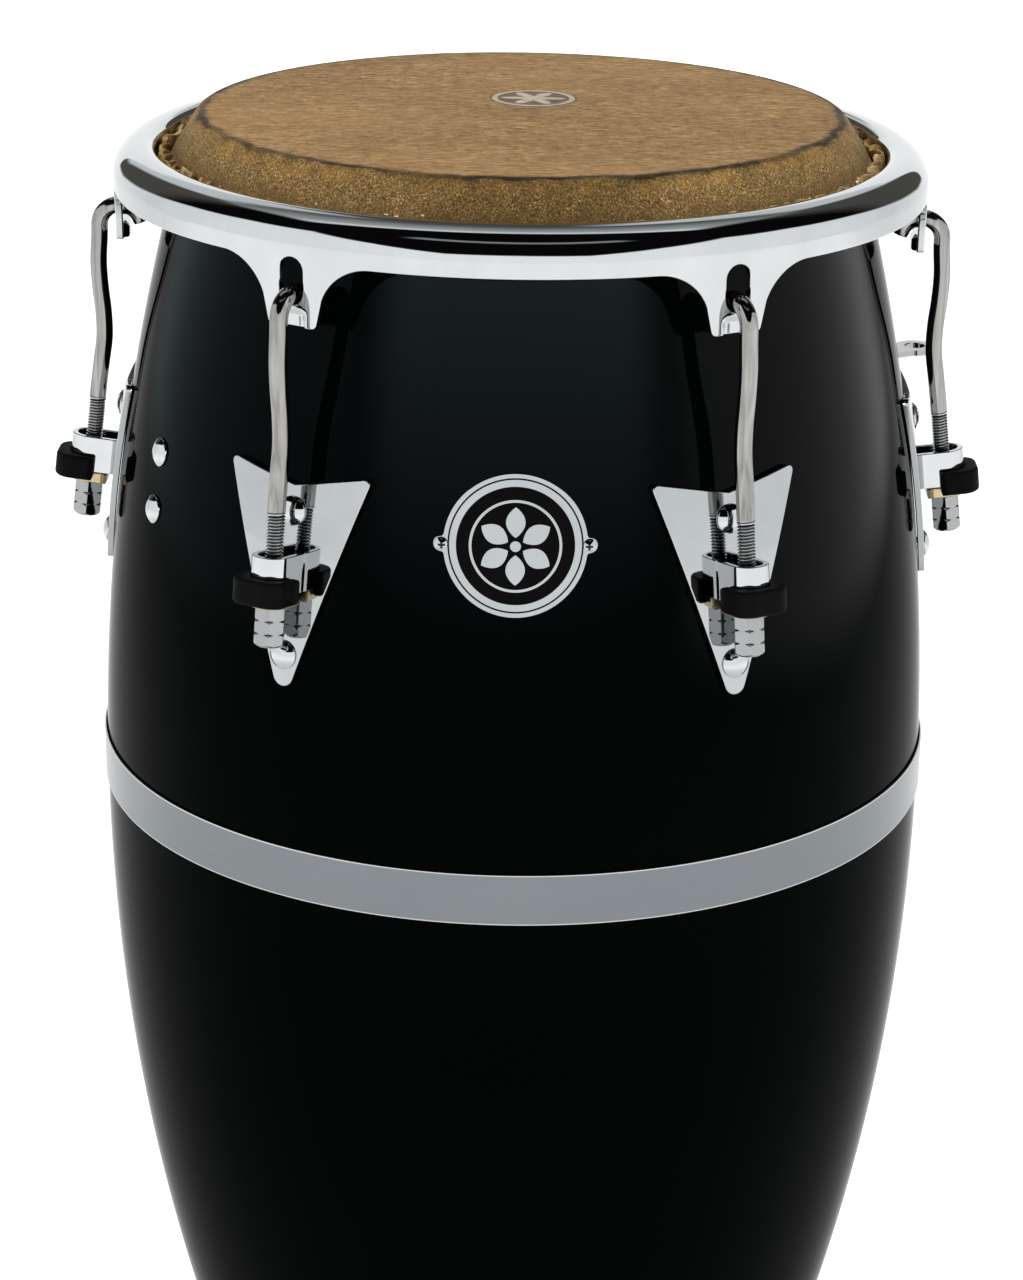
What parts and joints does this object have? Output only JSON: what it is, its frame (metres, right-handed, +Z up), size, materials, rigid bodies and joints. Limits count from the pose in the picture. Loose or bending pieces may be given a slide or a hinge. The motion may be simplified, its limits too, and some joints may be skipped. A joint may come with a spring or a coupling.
{
  "type": "conga drum",
  "caption": "Tall belly-shaped hand drum with a skin head held by a rounded rim with slotted ears, hook rods and nuts on V-shaped side plates.",
  "frame": {"origin": "centre of the foot, on the floor", "axes": "+Z up along the drum's axis, -Y towards the badge, hook 1 at +X"},
  "size_m": [0.4406, 0.398, 0.762],
  "materials": {
    "shell": "polished gel coat on glass fibre",
    "chrome": "mirror",
    "band": "satin",
    "steel": "zinc plated",
    "skin": "rawhide",
    "rubber": "matt moulded",
    "brass": "machined",
    "badge": "glossy enamel"
  },
  "bodies": {
    "drum": {"shell": "shell", "belly_band": "band", "foot_ring": "rubber", "head_skin": "skin", "flesh_hoop": "steel", "seat_washer_1": "brass", "side_plate_1": "chrome", "lug_bracket_1": "chrome", "bumper_1": "rubber", "seat_washer_2": "brass", "side_plate_2": "chrome", "lug_bracket_2": "chrome", "bumper_2": "rubber", "seat_washer_3": "brass", "side_plate_3": "chrome", "lug_bracket_3": "chrome", "bumper_3": "rubber", "seat_washer_4": "brass", "side_plate_4": "chrome", "lug_bracket_4": "chrome", "bumper_4": "rubber", "seat_washer_5": "brass", "side_plate_5": "chrome", "lug_bracket_5": "chrome", "bumper_5": "rubber", "seat_washer_6": "brass", "side_plate_6": "chrome", "lug_bracket_6": "chrome", "bumper_6": "rubber", "plate_bolts": "chrome", "pair_bolts": "chrome", "eye_bolts": "chrome", "shell_washers": "steel", "shell_nuts": "steel", "badge_screws": "chrome", "accessory_eye": "chrome", "badge_plate": "chrome", "badge_face": "badge"},
    "rim": {"tension_rim": "chrome"},
    "hook_1": {"hook_1": "chrome"},
    "nut_1": {"tuning_nut_1": "chrome"},
    "hook_2": {"hook_2": "chrome"},
    "nut_2": {"tuning_nut_2": "chrome"},
    "hook_3": {"hook_3": "chrome"},
    "nut_3": {"tuning_nut_3": "chrome"},
    "hook_4": {"hook_4": "chrome"},
    "nut_4": {"tuning_nut_4": "chrome"},
    "hook_5": {"hook_5": "chrome"},
    "nut_5": {"tuning_nut_5": "chrome"},
    "hook_6": {"hook_6": "chrome"},
    "nut_6": {"tuning_nut_6": "chrome"}
  },
  "joints": [
    {"name": "rim_lift", "type": "slide", "parent": "drum", "child": "rim", "axis": [0, 0, 1], "range_m": [0, 0.008]},
    {"name": "nut_spin_1", "type": "hinge", "parent": "drum", "child": "nut_1", "pos_m": [0.2044, 0, 0.581], "axis": [0.1219, 0, -0.9925], "range_deg": [0, 2057]},
    {"name": "hook_slide_1", "type": "slide", "parent": "drum", "child": "hook_1", "axis": [-0.1219, 0, 0.9925], "range_m": [0, 0.00807]},
    {"name": "nut_spin_2", "type": "hinge", "parent": "drum", "child": "nut_2", "pos_m": [0.1022, 0.17702, 0.581], "axis": [0.0609, 0.1055, -0.9925], "range_deg": [0, 2057]},
    {"name": "hook_slide_2", "type": "slide", "parent": "drum", "child": "hook_2", "axis": [-0.0609, -0.1055, 0.9925], "range_m": [0, 0.00807]},
    {"name": "nut_spin_3", "type": "hinge", "parent": "drum", "child": "nut_3", "pos_m": [-0.1022, 0.17702, 0.581], "axis": [-0.0609, 0.1055, -0.9925], "range_deg": [0, 2057]},
    {"name": "hook_slide_3", "type": "slide", "parent": "drum", "child": "hook_3", "axis": [0.0609, -0.1055, 0.9925], "range_m": [0, 0.00807]},
    {"name": "nut_spin_4", "type": "hinge", "parent": "drum", "child": "nut_4", "pos_m": [-0.2044, 0, 0.581], "axis": [-0.1219, 0, -0.9925], "range_deg": [0, 2057]},
    {"name": "hook_slide_4", "type": "slide", "parent": "drum", "child": "hook_4", "axis": [0.1219, 0, 0.9925], "range_m": [0, 0.00807]},
    {"name": "nut_spin_5", "type": "hinge", "parent": "drum", "child": "nut_5", "pos_m": [-0.1022, -0.17702, 0.581], "axis": [-0.0609, -0.1055, -0.9925], "range_deg": [0, 2057]},
    {"name": "hook_slide_5", "type": "slide", "parent": "drum", "child": "hook_5", "axis": [0.0609, 0.1055, 0.9925], "range_m": [0, 0.00807]},
    {"name": "nut_spin_6", "type": "hinge", "parent": "drum", "child": "nut_6", "pos_m": [0.1022, -0.17702, 0.581], "axis": [0.0609, -0.1055, -0.9925], "range_deg": [0, 2057]},
    {"name": "hook_slide_6", "type": "slide", "parent": "drum", "child": "hook_6", "axis": [-0.0609, 0.1055, 0.9925], "range_m": [0, 0.00807]}
  ],
  "couplings": [
    {"joint": "hook_slide_1", "follows": "rim_lift", "ratio": 1.0075},
    {"joint": "nut_spin_1", "follows": "rim_lift", "rad_per_m": 4486.1},
    {"joint": "hook_slide_2", "follows": "rim_lift", "ratio": 1.0075},
    {"joint": "nut_spin_2", "follows": "rim_lift", "rad_per_m": 4486.1},
    {"joint": "hook_slide_3", "follows": "rim_lift", "ratio": 1.0075},
    {"joint": "nut_spin_3", "follows": "rim_lift", "rad_per_m": 4486.1},
    {"joint": "hook_slide_4", "follows": "rim_lift", "ratio": 1.0075},
    {"joint": "nut_spin_4", "follows": "rim_lift", "rad_per_m": 4486.1},
    {"joint": "hook_slide_5", "follows": "rim_lift", "ratio": 1.0075},
    {"joint": "nut_spin_5", "follows": "rim_lift", "rad_per_m": 4486.1},
    {"joint": "hook_slide_6", "follows": "rim_lift", "ratio": 1.0075},
    {"joint": "nut_spin_6", "follows": "rim_lift", "rad_per_m": 4486.1}
  ]
}
